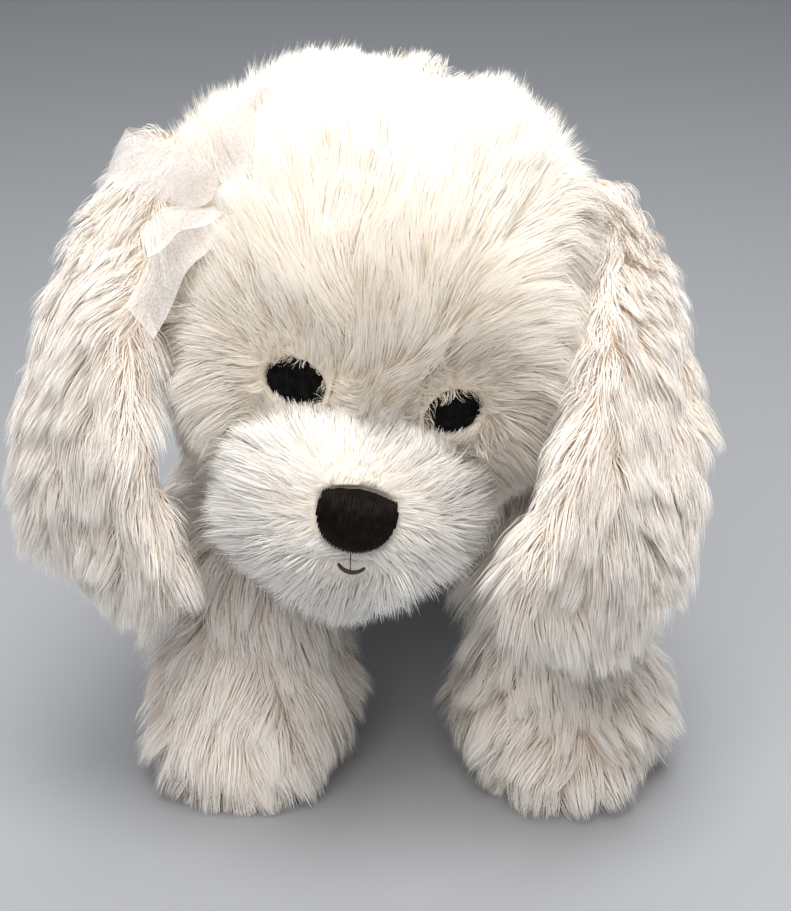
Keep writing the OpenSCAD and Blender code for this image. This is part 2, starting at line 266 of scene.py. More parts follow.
def mottled(name, dark, light, span, scale, detail):
    """A new material whose colour runs from dark to light with fine noise, and its noise."""
    m, nodes, links, shader = new_material(name)
    where = nodes.new("ShaderNodeTexCoord")
    grain = nodes.new("ShaderNodeTexNoise")
    grain.inputs["Scale"].default_value = scale
    grain.inputs["Detail"].default_value = detail
    links.new(where.outputs["Object"], grain.inputs["Vector"])
    tone = nodes.new("ShaderNodeValToRGB")
    ends = tone.color_ramp.elements
    ends[0].color, ends[0].position = rgb(dark), span[0]
    ends[1].color, ends[1].position = rgb(light), span[1]
    links.new(grain.outputs["Fac"], tone.inputs["Fac"])
    links.new(tone.outputs["Color"], shader.inputs["Base Color"])
    return m, nodes, links, shader, grain


def raise_grain(nodes, links, shader, grain, strength, height):
    """Bump from a material's own noise. height is in millimetres."""
    raised = nodes.new("ShaderNodeBump")
    raised.inputs["Strength"].default_value = strength
    raised.inputs["Distance"].default_value = height * MM
    links.new(grain.outputs["Fac"], raised.inputs["Height"])
    links.new(raised.outputs["Normal"], shader.inputs["Normal"])


def cloth_material(name, dark, light, scale, bump=0.25):
    """Knitted or felted cloth: fine mottling with a bump at the size of its loops."""
    m, nodes, links, shader, grain = mottled(name, dark, light, (0.3, 0.7), scale, 6)
    raise_grain(nodes, links, shader, grain, bump, 0.6)
    shader.inputs["Roughness"].default_value = 0.9
    shader.inputs["Sheen Weight"].default_value = 0.3
    return m


def satin_material(name, low, high, roughness, gloss=0.5):
    """Embroidery thread: fine variation of shade along its fibres."""
    m, _, _, shader, _ = mottled(name, low, high, (0.35, 0.68), 420, 3)
    shader.inputs["Roughness"].default_value = roughness
    shader.inputs["Specular IOR Level"].default_value = gloss
    return m


def organza_material():
    """Sheer woven ribbon: pale, faintly pink, partly see-through."""
    m, nodes, links, shader, grain = mottled("organza", (0.78, 0.72, 0.69), (0.98, 0.94, 0.92), (0.4, 0.6),
                                             1300, 1)
    raise_grain(nodes, links, shader, grain, 0.3, 0.2)
    shader.inputs["Alpha"].default_value = 0.45
    shader.inputs["Roughness"].default_value = 0.45
    shader.inputs["Sheen Weight"].default_value = 0.3
    return m


FUR = {                                          # root, middle and tip colours, and the tint of some strands
    "plush": fur_material("fur_plush", (0.93, 0.84, 0.73), (0.96, 0.895, 0.81), (0.975, 0.94, 0.89),
                          (0.985, 0.94, 0.86)),
    "muzzle_plush": fur_material("fur_muzzle", (0.92, 0.86, 0.78), (0.95, 0.92, 0.88), (0.96, 0.95, 0.93),
                                 (0.985, 0.96, 0.92)),
    "warm_plush": fur_material("fur_warm", (0.92, 0.82, 0.72), (0.96, 0.89, 0.82), (0.98, 0.95, 0.915),
                               (0.98, 0.935, 0.87)),
    "ear_lining": fur_material("fur_lining", (0.62, 0.42, 0.29), (0.82, 0.64, 0.50), (0.93, 0.80, 0.69),
                               (0.9, 0.8, 0.7), roughness=0.55),
}
SKIN = {
    "plush": cloth_material("backing_plush", (0.82, 0.72, 0.60), (0.92, 0.84, 0.74), 900),
    "muzzle_plush": cloth_material("backing_muzzle", (0.86, 0.76, 0.65), (0.94, 0.87, 0.78), 900),
    "warm_plush": cloth_material("backing_warm", (0.78, 0.64, 0.52), (0.90, 0.78, 0.66), 900),
    "ear_lining": cloth_material("backing_lining", (0.62, 0.44, 0.32), (0.76, 0.58, 0.44), 900),
    "sole": cloth_material("sole_cloth", (0.62, 0.48, 0.37), (0.80, 0.68, 0.56), 700, bump=0.5),
    "neck_cloth": cloth_material("neck_cloth", (0.74, 0.68, 0.60), (0.86, 0.82, 0.76), 800),
    "gather_thread": cloth_material("gather_thread", (0.80, 0.76, 0.70), (0.90, 0.87, 0.82), 1500),
    "filling": cloth_material("fibre_filling", (0.84, 0.84, 0.84), (0.96, 0.96, 0.96), 260, bump=0.8),
}
EYE_SATIN = satin_material("eye_satin", (0.003, 0.003, 0.003), (0.012, 0.011, 0.011), 0.7, gloss=0.05)
NOSE_SATIN = satin_material("nose_satin", (0.002, 0.0015, 0.001), (0.012, 0.007, 0.004), 0.5, gloss=0.09)
MOUTH_THREAD = satin_material("mouth_thread", (0.02, 0.014, 0.012), (0.06, 0.04, 0.035), 0.6)
ORGANZA = organza_material()


# ---------------------------------------------------------------- mesh helpers
def link(obj):
    bpy.context.scene.collection.objects.link(obj)
    return obj


def stand_in(obj, node, body):
    """Makes a piece ride on a body in the place of a CAD node."""
    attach(obj, body)
    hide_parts(node)


def mesh_object(name, verts_mm, faces, material):
    """A smooth-shaded object from vertices in millimetres."""
    me = bpy.data.meshes.new(name)
    me.from_pydata((np.asarray(verts_mm) * MM).tolist(), [], [tuple(f) for f in faces])
    me.polygons.foreach_set("use_smooth", [True] * len(me.polygons))
    me.materials.append(material)
    return link(bpy.data.objects.new(name, me))


def apply_modifiers(obj):
    dg = bpy.context.evaluated_depsgraph_get()
    done = bpy.data.meshes.new_from_object(obj.evaluated_get(dg))
    obj.modifiers.clear()
    old, obj.data = obj.data, done
    bpy.data.meshes.remove(old)


def vertex_values(me, key):
    """Every vertex's place (co) or normal, one row to a vertex. Places are in metres."""
    values = np.empty(len(me.vertices) * 3)
    me.vertices.foreach_get(key, values)
    return values.reshape(-1, 3)


def soft_copy(node, name, material, voxel=2.2, relax=4):
    """A new soft piece in the place of a CAD solid, with its sharp edges rounded like sewn cloth."""
    me = frame["nodes"][node].data.copy()
    me.materials.clear()
    me.materials.append(material)
    obj = link(bpy.data.objects.new(name, me))
    remesh = obj.modifiers.new("remesh", "REMESH")
    remesh.mode = "VOXEL"
    remesh.voxel_size = voxel * MM
    remesh.use_smooth_shade = True
    ease = obj.modifiers.new("ease", "SMOOTH")
    ease.factor, ease.iterations = 0.5, relax
    apply_modifiers(obj)
    obj.data.materials.clear()
    obj.data.materials.append(material)
    return obj


def sunk(obj, amount):
    """Moves a whole surface inwards by so many millimetres."""
    me = obj.data
    p, n = vertex_values(me, "co"), vertex_values(me, "normal")
    me.vertices.foreach_set("co", (p - n * amount * MM).ravel())
    me.update()


def lumpy(obj, amount, seed):
    """Pushes a stuffing's surface in by soft lumps, never out."""
    me = obj.data
    p, n = vertex_values(me, "co"), vertex_values(me, "normal")
    lump = np.abs(Waves(24, seed)(p / MM)[:, :1]) + 0.4 * np.abs(Waves(8, seed + 1)(p / MM)[:, :1])
    me.vertices.foreach_set("co", (p - n * lump * amount * MM).ravel())
    me.update()


# ---------------------------------------------------------------- fur
def roots_on(obj, per_mm2, seed):
    """Random points on a mesh, evenly spread, with smooth normals. Millimetres."""
    me = obj.data
    me.calc_loop_triangles()
    tri = np.empty(len(me.loop_triangles) * 3, np.int64)
    me.loop_triangles.foreach_get("vertices", tri)
    tri = tri.reshape(-1, 3)
    co, normal = vertex_values(me, "co") / MM, vertex_values(me, "normal")
    a, b, c = (co[tri[:, i]] for i in range(3))
    area = np.linalg.norm(np.cross(b - a, c - a), axis=1) / 2
    r = np.random.default_rng(seed)
    count = int(area.sum() * per_mm2)
    pick = r.choice(len(tri), count, p=area / area.sum())
    u, v = r.random(count), r.random(count)
    over = u + v > 1
    u[over], v[over] = 1 - u[over], 1 - v[over]
    w = np.stack([1 - u - v, u, v], 1)[:, :, None]
    p = (co[tri[pick]] * w).sum(1)
    n = unit((normal[tri[pick]] * w).sum(1))
    return p, n


def nearest(points, guides):
    """For each point, the number of the guide that is closest to it."""
    tree = KDTree(len(guides))
    for i, g in enumerate(guides):
        tree.insert(g, i)
    tree.balance()
    return np.array([tree.find(p)[1] for p in points])


def strand_paths(p, n, comb, length, stand, droop, ruffle, seed):
    """The points along every strand, before clumping. stand is how upright, 0 to 1."""
    r = np.random.default_rng(seed)
    count = len(p)
    length = length * r.uniform(0.78, 1.06, count) * np.where(r.random(count) < GUARD_HAIRS, GUARD_LEN, 1.0)
    wander = SWIRL(p) * 0.22 + RUFFLE(p) * ruffle + r.normal(size=(count, 3)) * 0.09
    path = np.empty((count, len(STRAND_T), 3))
    path[:, 0] = p
    here = p.copy()
    for k in range(1, len(STRAND_T)):            # upright at the root, lying over at the tip
        mid = (STRAND_T[k - 1] + STRAND_T[k]) / 2
        upright = stand[:, None] * (1.15 - 0.75 * mid)
        way = unit(n * upright + comb * (1 - 0.5 * stand[:, None]) * (0.35 + 0.85 * mid)
                   + wander * (0.5 + mid) + np.array([0, 0, -1]) * droop * mid * mid)
        here = here + way * (length * (STRAND_T[k] - STRAND_T[k - 1]))[:, None]
        path[:, k] = here
    return path


def clumped(path, share, pull, power, seed):
    """Draws each strand towards its nearest guide strand, more at the tip, into pointed locks."""
    r = np.random.default_rng(seed)
    count = len(path)
    guides = r.choice(count, max(4, int(count * share)), replace=False)
    own = guides[nearest(path[:, 0], path[guides, 0])]
    strength = (pull * r.uniform(0.55, 1.15, count))[own]
    weight = np.clip(strength[:, None] * STRAND_T[None, :] ** power, 0, 0.93)
    return path + weight[:, :, None] * (path[own] - path)


def kept_in_box(path):
    """Presses strands that reach past the size limit or the floor flat against it."""
    low = np.array(CAD_BOUNDS[0]) / MM - PROUD
    high = np.array(CAD_BOUNDS[1]) / MM + PROUD
    low[2] = FLOOR_GAP
    return np.clip(path, low, high)


def ribbons(name, path, n, width, body, slot, seed):
    """One mesh of tapering ribbons, one to a strand, each facing outwards."""
    r = np.random.default_rng(seed)
    count, levels = len(path), len(STRAND_T)
    tangent = np.empty_like(path)
    tangent[:, 1:-1] = path[:, 2:] - path[:, :-2]
    tangent[:, 0], tangent[:, -1] = path[:, 1] - path[:, 0], path[:, -1] - path[:, -2]
    tangent = unit(tangent)
    facing = unit(n + r.normal(size=(count, 3)) * 0.2)
    across = unit(np.cross(tangent, facing[:, None, :]))
    half = width / 2 * (1 - 0.75 * STRAND_T ** 1.6)
    verts = np.empty((count, 2 * levels - 1, 3))
    verts[:, 0:-1:2] = path[:, :-1] - across[:, :-1] * half[None, :-1, None]
    verts[:, 1::2] = path[:, :-1] + across[:, :-1] * half[None, :-1, None]
    verts[:, -1] = path[:, -1]
    quads = [[2 * k, 2 * k + 1, 2 * k + 3, 2 * k + 2] for k in range(levels - 2)]
    last = 2 * (levels - 2)
    pattern = np.array(sum(quads, []) + [last, last + 1, last + 2])
    per = 2 * levels - 1
    loops = (pattern[None, :] + per * np.arange(count)[:, None]).ravel()
    sizes = np.tile([4] * (levels - 2) + [3], count)
    starts = np.concatenate([[0], np.cumsum(sizes)[:-1]])
    me = bpy.data.meshes.new(name)
    me.vertices.add(count * per)
    me.vertices.foreach_set("co", (verts * MM).astype(np.float32).ravel())
    me.loops.add(len(loops))
    me.loops.foreach_set("vertex_index", loops.astype(np.int32))
    me.polygons.add(len(sizes))
    me.polygons.foreach_set("loop_start", starts.astype(np.int32))
    me.polygons.foreach_set("use_smooth", np.ones(len(sizes), bool))
    me.update(calc_edges=True)
    t_of = np.append(np.repeat(STRAND_T[:-1], 2), 1.0)
    uv = np.empty((count, len(pattern), 2), np.float32)
    uv[:, :, 0] = r.random(count)[:, None]
    uv[:, :, 1] = t_of[pattern][None, :]
    me.uv_layers.new(name="OFBake").data.foreach_set("uv", uv.ravel())
    flat = unit(facing[:, None, :] - (facing[:, None, :] * tangent).sum(2, keepdims=True) * tangent)
    shaded = unit(SOFTNESS * n[:, None, :] + (1 - SOFTNESS) * flat)
    normals = np.empty((count, per, 3))
    normals[:, 0:-1:2], normals[:, 1::2], normals[:, -1] = shaded[:, :-1], shaded[:, :-1], shaded[:, -1]
    me.normals_split_custom_set_from_vertices(normals.reshape(-1, 3))
    me.materials.append(FUR[slot])
    obj = link(bpy.data.objects.new(name, me))
    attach(obj, body)


def grow(name, skin, body, slot, style, seed, keep=None):
    """Fur on one skin piece. style gives density, length, comb, stand, droop and clumps."""
    p, n = roots_on(skin, style["per_mm2"], seed)
    if keep is not None:
        ok = keep(p, n)
        p, n = p[ok], n[ok]
    length = style["length"](p, n)
    ok = length > 0.8
    p, n, length = p[ok], n[ok], length[ok]
    comb = tangential(style["comb"](p, n), n)
    stand = style["stand"](p, n)
    path = strand_paths(p, n, comb, length, stand, style["droop"], style["ruffle"], seed + 1)
    path = clumped(path, style["fine"][0], style["fine"][1], 0.9, seed + 2)
    path = clumped(path, style["locks"][0], style["locks"][1], 1.5, seed + 3)
    path = kept_in_box(path)
    parts = max(1, math.ceil(len(path) / MAX_STRANDS))
    order = np.argsort(p[:, 2])
    for i, some in enumerate(np.array_split(order, parts)):
        tag = f"{name}_{'abcdefgh'[i]}" if parts > 1 else name
        ribbons(tag, path[some], n[some], style["width"], body, slot, seed + 4 + i)


# ---------------------------------------------------------------- how the fur lies
# A style's length, comb and stand are functions of the roots and their normals. Its fine and locks each
# give the share of strands that guide the others, and how hard they pull.
def evenly(value):
    """The same value for every strand."""
    return lambda p, n: np.full(len(p), value)


def over_left_ear(q):
    """Where the head's pile falls over the left ear's root. q is in the head's own frame."""
    left, height, back = q[:, 0], q[:, 2], q[:, 1]
    return smooth(28, 50, left) * smooth(-22, -2, height) * smooth(62, 48, height) * smooth(30, 0, back)


def head_comb(p, n):
    """Up over the forehead and crown, down at the back and cheeks, away from nose and eyes."""
    q = to_head(p)
    away_nose = q - NOSE_C
    up = np.array([0.0, 0.5, 1.0]) + np.stack([q[:, 0] / 90, 0 * q[:, 0], 0 * q[:, 0]], 1)
    down = np.stack([np.sign(q[:, 0]) * 0.65, np.full(len(q), 0.35), np.full(len(q), -1.0)], 1)
    falling = np.maximum(smooth(8, -22, q[:, 2]), smooth(5, 45, q[:, 1]))[:, None]
    field = up * (1 - falling) + down * falling
    over_ear = over_left_ear(q)[:, None]
    field = field * (1 - over_ear) + np.array([1.1, -0.4, -0.35]) * over_ear
    near_nose = smooth(62, 40, np.linalg.norm(away_nose, axis=1))[:, None]
    field = field * (1 - near_nose) + unit(away_nose) * 1.3 * near_nose
    for eye in EYES:
        gap = q - eye
        near = smooth(26, 12, np.linalg.norm(gap, axis=1))[:, None]
        below = smooth(-3, -9, gap[:, 2])[:, None] * near
        way = unit(gap) * 1.5 * (1 - below) + np.array([0.0, 0.0, 0.7]) * below
        if eye[0] > 0:                           # a tuft falls over the outer side of the left eye
            tuft = (smooth(3, 8, gap[:, 0]) * smooth(5, -1, gap[:, 2]))[:, None] * near
            way = way * (1 - tuft) + np.array([-1.0, 0.0, 0.25]) * tuft
        field = field * (1 - near) + way * near
    return field @ HEAD_R.T


def from_ribbon(p):
    """How far each point is from the line under the bow's front end and front loop."""
    gap = np.full(len(p), math.inf)
    for rot, way, size in ((TAIL_TURN["front"], (0.0, 0.0, -1.0), TAIL_LEN["front"]),
                           (LOOP_TURN["front"], (1.0, 0.0, 0.0), 24.0)):
        reach = rot @ np.array(way)
        t = np.clip((p - BOW_C) @ reach, 0, size)
        foot = BOW_C + t[:, None] * reach
        gap = np.minimum(gap, np.linalg.norm(unit(p - HEAD_C) - unit(foot - HEAD_C), axis=1) * SKULL_R)
    return gap


def head_length(p, n):
    """Two lobes over the crown, longer cheeks, and shorter pile round nose, smile, eyes and ribbon."""
    q = to_head(p)
    length = 25.0 + 13 * smooth(20, -20, q[:, 2]) * smooth(35, 60, np.abs(q[:, 0]))
    crown = smooth(15, 45, q[:, 2]) * smooth(-50, -10, q[:, 1])
    around = np.degrees(np.arctan2(q[:, 0], q[:, 2]))
    length += (np.interp(around, CROWN_ANGLE, CROWN_PILE) - length) * crown
    length += (36.0 - length) * over_left_ear(q)
    length = np.minimum(length, 5.0 + 21 * smooth(10, 42, np.linalg.norm(q - NOSE_C, axis=1)))
    length = np.minimum(length, 2.5 + 20 * smooth(6, 16, np.linalg.norm(q - SMILE_C, axis=1)))
    for eye in EYES:
        gap = np.linalg.norm((q - eye) / [1.12, 1, 1], axis=1)
        length = np.minimum(length, 7.5 + 18 * smooth(10, 30, gap))
        length[gap < EYE_CLEAR] = 0
    length = np.minimum(length, 6.0 + 20 * smooth(7, 15, from_ribbon(p)))
    between_eyes = smooth(30, 12, np.abs(q[:, 0])) * smooth(-45, -38, q[:, 2]) * smooth(6, -8, q[:, 2])
    length *= 1 - 0.2 * (between_eyes * (q[:, 1] < -30))
    return length


def head_stand(p, n):
    """More upright on the crown, flatter round the nose."""
    q = to_head(p)
    value = 0.62 + 0.22 * smooth(35, 68, q[:, 2])
    value -= 0.2 * smooth(60, 45, np.linalg.norm(q - NOSE_C, axis=1))
    return value


def keep_head(p, n):
    """The roots that stay: on the outer face, not on a seam's edge, clear of neck, nose and eyes."""
    q = to_head(p)
    skull = np.linalg.norm(q, axis=1) > SKULL_R - INNER_FACE
    muzzle = np.linalg.norm(q - MUZZLE_C, axis=1) > MUZZLE_R - INNER_FACE
    from_eye = np.min([np.linalg.norm(q - eye, axis=1) for eye in EYES], axis=0)
    upright = (unit(q) * (n @ HEAD_R)).sum(1) > np.where(from_eye < 14, 0.9, 0.6)
    outside = (depth(p, "head") > -INNER_FACE) & (skull & upright | muzzle)
    clear_neck = (np.linalg.norm(p - NECK, axis=1) > 56) & (depth(p, "torso") > 4)
    clear_nose = (np.hypot(q[:, 0] / 12.5, (q[:, 2] - NOSE_C[2]) / 10.5) > 1) | (q[:, 1] > -60)
    return outside & clear_neck & clear_nose


def leg_comb(p, n):
    """Down a limb and outwards."""
    return n * [0.9, 0.9, 0] + np.array([0.0, 0.0, -1.0])


HEAD_STYLE = dict(per_mm2=2.2, length=head_length, comb=head_comb, stand=head_stand, droop=0.1,
                  ruffle=0.10, fine=(0.08, 0.45), locks=(0.006, 0.28), width=0.21)
MUZZLE_STYLE = dict(HEAD_STYLE, per_mm2=2.0, width=0.23)
LEG_STYLE = dict(per_mm2=1.3, length=lambda p, n: 19.0 + 9 * smooth(10, 40, p[:, 2]), comb=leg_comb,
                 stand=evenly(0.55), droop=0.5, ruffle=0.22, fine=(0.08, 0.5), locks=(0.007, 0.5),
                 width=0.25)


def body_comb(p, n):
    """Backwards and down."""
    return np.array([0.0, 0.9, -0.55]) + 0 * p


BODY_STYLE = dict(per_mm2=0.6, length=evenly(25.0), comb=body_comb, stand=evenly(0.6),
                  droop=0.3, ruffle=0.2, fine=(0.08, 0.5), locks=(0.010, 0.55), width=0.4)
BELLY_STYLE = dict(BODY_STYLE, length=evenly(26.0), droop=0.8)


def tail_style():
    """A pom: the pile stands away from the tail's root."""
    root = joint_at("tail_wag")
    return dict(per_mm2=0.7, length=evenly(24.0), comb=lambda p, n: unit(p - root),
                stand=evenly(0.8), droop=0.25, ruffle=0.2, fine=(0.10, 0.5), locks=(0.03, 0.6), width=0.45)


def ear_frame(side):
    """The ear's hinge, the level way its pile faces, how it hangs, and along the hinge to its outer edge."""
    hinge = joint_at(f"ear_{side}_lift")
    axis = JOINT[f"ear_{side}_lift"]["axis"]
    out = unit(np.array([axis[1], -axis[0], 0.0]))
    out = out if out @ (hinge - HEAD_C) > 0 else -out
    outer = unit(np.array(axis) * np.sign(axis[1]))
    hang = unit(np.mean(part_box(f"ear_lining_{side}"), axis=0) / MM - hinge)
    return hinge, out, hang, outer


def ear_style(side):
    """Hanging pile, shorter on the inner face and the outer edge, and longer on the inner edge."""
    hinge, out, hang, outer = ear_frame(side)

    def length(p, n):
        fall = hinge[2] - p[:, 2]
        inner = smooth(0.1, -0.5, n @ out)
        edge = n @ outer
        shape = 1 - 0.55 * inner - 0.55 * smooth(0.2, 0.8, edge) + 0.4 * smooth(-0.3, -0.8, edge)
        return (15 + 6 * smooth(10, 60, fall)) * shape

    def comb(p, n):
        across = p - hinge
        across = across - (across @ out)[:, None] * out - (across @ hang)[:, None] * hang
        return 0.6 * hang + np.array([0, 0, -0.4]) + across * 0.004 + out * 0.15

    return dict(per_mm2=1.8, length=length, comb=comb, stand=evenly(0.45), droop=0.45,
                ruffle=0.16, fine=(0.08, 0.5), locks=(0.008, 0.42), width=0.24)


def lining_style(side):
    """Short pile on the ear's inner face."""
    _, out, hang, _ = ear_frame(side)
    return dict(per_mm2=1.2, length=lambda p, n: np.where(n @ out < 0.3, 3.6, 2.0),
                comb=lambda p, n: hang + 0 * p, stand=evenly(0.3), droop=0.1,
                ruffle=0.1, fine=(0.2, 0.3), locks=(0.05, 0.2), width=0.4)


def keep_outside(body, others):
    """Keeps roots on a cover's outer face that are further than a gap from each other body."""
    def keep(p, n):
        ok = depth(p, body) > -INNER_FACE
        for other, gap in others:
            ok &= depth(p, other) > gap
        return ok
    return keep


# ---------------------------------------------------------------- face
def tube(path, radius, ref):
    """Vertices and faces of a round thread along a path, in millimetres. No part runs along ref."""
    sides = 6
    tangent = unit(np.gradient(path, axis=0))
    u = unit(np.cross(tangent, np.array(ref, float)))
    v = np.cross(tangent, u)
    turn = np.arange(sides) * 2 * math.pi / sides
    radius = np.broadcast_to(radius, len(path)).copy()
    radius[[0, -1]] *= 0.35
    ring = (u[:, None, :] * np.cos(turn)[None, :, None] + v[:, None, :] * np.sin(turn)[None, :, None])
    verts = (path[:, None, :] + ring * radius[:, None, None]).reshape(-1, 3)
    faces = []
    for i in range(len(path) - 1):
        for s in range(sides):
            a, b = i * sides + s, i * sides + (s + 1) % sides
            faces.append((a, b, b + sides, a + sides))
    faces.append(tuple(range(sides - 1, -1, -1)))
    faces.append(tuple(range((len(path) - 1) * sides, len(path) * sides)))
    return verts, faces


def joined(parts):
    """Several pieces' vertices and faces as one."""
    verts, faces, base = [], [], 0
    for v, f in parts:
        verts.append(v)
        faces += [tuple(i + base for i in face) for face in f]
        base += len(v)
    return np.vstack(verts), faces


def stitched(inside, half_w, half_h, spacing, radius, surface, lean=0.0):
    """Satin stitches side by side: each thread crosses the outline from edge to edge."""
    threads = []
    r = np.random.default_rng(5)
    for x in np.arange(-half_w + spacing / 2, half_w, spacing):
        z = np.linspace(-half_h, half_h, 121)
        xs = x + lean * z
        hit = inside(xs, z)
        if hit.sum() < 6:
            continue
        z0, z1 = z[hit][0] - r.uniform(0, 0.25), z[hit][-1] + r.uniform(0, 0.25)
        steps = np.linspace(z0, z1, 12)
        xs = x + lean * steps + r.normal(0, 0.04)
        lift = surface(xs, steps) + r.normal(0, 0.05)
        threads.append(tube(np.stack([xs, lift, steps], 1), radius, (1, 0, 0)))
    return joined(threads)


def make_eye(side):
    """An oval of satin stitches on a padded, slightly crowned base."""
    s = 1 if side == "left" else -1
    forward = unit(EYE_DIR * [s, 1, 1])
    across = unit(np.cross(forward, np.array([0, 0, 1.0])))
    across = across if across[0] > 0 else -across
    up = np.cross(across, -forward)
    up = up if up[2] > 0 else -up

    half_w, half_h = EYE_W / 2, EYE_H / 2

    def inside(x, z):
        return (x / half_w) ** 2 + (z / half_h) ** 2 < 1

    def surface(x, z):
        edge = np.clip((x / half_w) ** 2 + (z / half_h) ** 2, 0, 1)
        return EYE_BACK + EYE_CROWN * np.sqrt(1.02 - edge)

    threads, faces = stitched(inside, half_w, half_h, 0.8, 0.46, surface, lean=0.25 * s)
    spokes, rings, under = 32, (1.0, 0.75, 0.5, 0.25), 0.25
    grid = [(a, b) for a in np.linspace(0, 2 * math.pi, spokes + 1)[:-1] for b in rings]
    pad = np.array([[half_w * b * math.cos(a), 0, half_h * b * math.sin(a)] for a, b in grid])
    pad[:, 1] = surface(pad[:, 0], pad[:, 2]) - under
    centre = np.array([[0, surface(0.0, 0.0) - under, 0]])
    many = len(rings)
    pad_faces = []
    for i in range(spokes):
        j = (i + 1) % spokes
        for k in range(many - 1):
            pad_faces.append((many * i + k, many * j + k, many * j + k + 1, many * i + k + 1))
        pad_faces.append((many * i + many - 1, many * j + many - 1, many * spokes))
    verts, faces = joined([(threads, faces), (np.vstack([pad, centre]), pad_faces)])
    local = verts[:, 0:1] * across + verts[:, 1:2] * forward + verts[:, 2:3] * up
    obj = mesh_object(f"eye_stitching_{side}", from_head(local), faces, EYE_SATIN)
    stand_in(obj, f"eye_{side}", "head")


def make_nose():
    """A rounded shield of upright satin stitches, crowned, with a soft upper edge."""
    def inside(x, z):
        return np.all([(x - cx) ** 2 + (z - cz) ** 2 < r ** 2 for cx, cz, r in NOSE_ARCS], axis=0)

    def surface(x, z):
        ball = np.sqrt(np.maximum(NOSE_CROWN_R ** 2 - np.asarray(x) ** 2 - np.asarray(z) ** 2, 9.0))
        return NOSE_FRONT - NOSE_CROWN_R + ball + 0.4 - 2.2 * smooth(3, 10, z)

    threads, faces = stitched(inside, 12.6, 11.0, 0.7, 0.52, surface)
    place = np.stack([threads[:, 0], -threads[:, 1], threads[:, 2] + NOSE_C[2]], 1)
    obj = mesh_object("nose_stitching", from_head(place), faces, NOSE_SATIN)
    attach(obj, "head")
    base = soft_copy("nose", "nose_pad", NOSE_SATIN, voxel=0.8, relax=6)
    sunk(base, 0.9)
    stand_in(base, "nose", "head")


def make_mouth():
    """One thin upright stitch under the nose and a small tapered smile below it."""
    lift = MUZZLE_R + 2.8
    down = np.radians(np.linspace(15, 27.5, 10))
    sideways = np.linspace(0.8, SMILE_C[0], 10)
    upright = np.stack([sideways, -np.cos(down) * lift, -np.sin(down) * lift], 1) + MUZZLE_C
    turn = np.radians(np.linspace(-52, 52, 22))
    rise = 1 - np.cos(turn)
    smile = upright[-1] + np.stack([5.6 * np.sin(turn), 1.6 * rise, 5.6 * rise], 1)
    thick = 0.3 + 0.5 * np.cos(turn) ** 2
    verts, faces = joined([tube(upright, 0.2, (1, 0, 0)), tube(smile, thick, (0, 1, 0))])
    obj = mesh_object("mouth_stitching", from_head(verts), faces, MOUTH_THREAD)
    stand_in(obj, "mouth_stitch", "head")


# ---------------------------------------------------------------- bow
def strip(part, centre_line, width_way, taper, slant=0.0):
    """A ribbon along a line. width_way is the direction across it, and slant is the slope of its cut end."""
    line = np.asarray(centre_line, float)
    way = np.broadcast_to(width_way, line.shape)
    across = np.linspace(-0.5, 0.5, 9)
    verts = []
    along = unit(np.gradient(line, axis=0))
    normal = unit(np.cross(along, way))
    for i, p in enumerate(line):
        cut = slant * smooth(0.4, 1, i / (len(line) - 1))
        for a in across * RIBBON_W * taper[i]:
            ripple = 0.5 * math.sin(0.7 * i + 5 * a / RIBBON_W) * (0.3 + abs(a) / RIBBON_W)
            verts.append(p + way[i] * a + along[i] * a * cut + normal[i] * ripple)
    cols = len(across)
    faces = [(r * cols + c, r * cols + c + 1, (r + 1) * cols + c + 1, (r + 1) * cols + c)
             for r in range(len(line) - 1) for c in range(cols - 1)]
    obj = mesh_object(f"ribbon_{part}", verts, faces, ORGANZA)
    stand_in(obj, f"bow_{part}", "head")


def make_loop(end):
    """A loop that leaves the knot, bulges and comes back to it."""
    turn = np.linspace(0, 1, 33)
    ang = 2 * math.pi * turn
    x = KNOT_R + LOOP_REACH * (1 - np.cos(ang)) / 2
    y = LOOP_BULGE * np.sin(ang) * (1 - np.cos(ang)) / 2 * 1.15
    line = np.stack([x, y, 0 * x], 1) @ LOOP_TURN[end].T + BOW_C
    way = np.array([0, 0, 1.0]) @ LOOP_TURN[end].T
    pinch = 0.35 + 0.65 * smooth(0, 0.3, np.minimum(turn, 1 - turn) * 2)
    strip(f"loop_{end}", line, way, pinch)


def make_tail_of_bow(end):
    """A free end that runs down from the knot over the pile."""
    t = np.linspace(0, 1, 17)
    drop = KNOT_R + TAIL_LEN[end] * (t - 0.16 * t * t)
    line = np.stack([0 * t, 1.2 * np.sin(3 * t), -drop], 1) @ TAIL_TURN[end].T + BOW_C
    line += unit(line - HEAD_C) * RIBBON_RISE * smooth(0, 0.5, t)[:, None]
    way = np.array([1.0, 0, 0]) @ TAIL_TURN[end].T
    pinch = 0.45 + 0.55 * smooth(0, 0.35, t)
    strip(f"tail_{end}", line, way, pinch, slant=0.3)


def make_bow():
    knot = soft_copy("bow_knot", "bow_knot_twist", ORGANZA, voxel=0.9, relax=2)
    stand_in(knot, "bow_knot", "head")
    for end in ("front", "back"):
        make_loop(end)
    for end in ("front", "back"):
        make_tail_of_bow(end)


# ---------------------------------------------------------------- the toy
def skin_piece(node, body, slot, voxel=2.2, relax=4):
    """A cover in place of its CAD node."""
    skin = soft_copy(node, f"{node}_cloth", SKIN[slot], voxel, relax)
    stand_in(skin, node, body)
    return skin


def stuffing_piece(node, body, seed):
    """A lumpy fibre filling in place of its CAD node."""
    obj = soft_copy(node, f"{node}_fibre", SKIN["filling"], voxel=3.0, relax=3)
    lumpy(obj, 2.0, seed)
    stand_in(obj, node, body)


